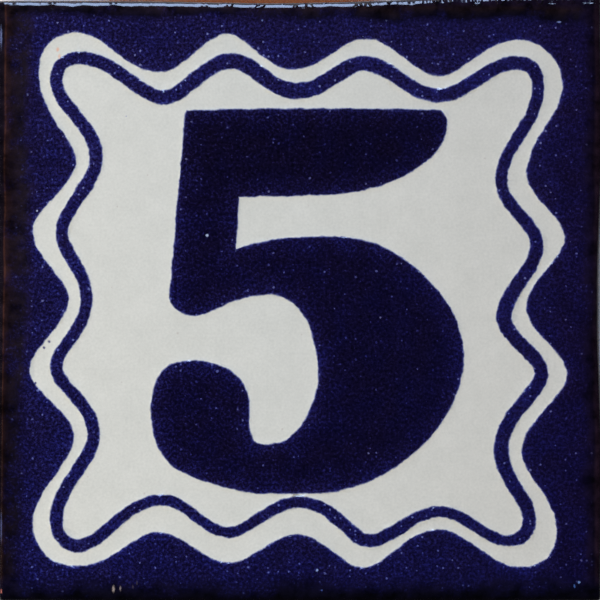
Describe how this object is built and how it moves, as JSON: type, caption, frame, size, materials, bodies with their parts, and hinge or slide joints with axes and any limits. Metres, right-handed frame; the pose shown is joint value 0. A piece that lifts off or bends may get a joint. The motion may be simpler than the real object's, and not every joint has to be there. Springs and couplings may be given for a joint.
{
  "type": "house number tile",
  "caption": "Square glazed wall tile with a wavy painted border and a single numeral standing in the glaze, keyed on the back for adhesive.",
  "frame": {"origin": "middle of the back face, the tile lying on its back", "axes": "+Z out of the glazed face, +Y to the top of the numeral, +X to the numeral's right as it is read"},
  "size_m": [0.105, 0.105, 0.007],
  "materials": {
    "tile": "glossy cobalt and white tin glaze on fired clay, the back bare"
  },
  "bodies": {
    "root": {"tile": "tile"}
  },
  "joints": []
}
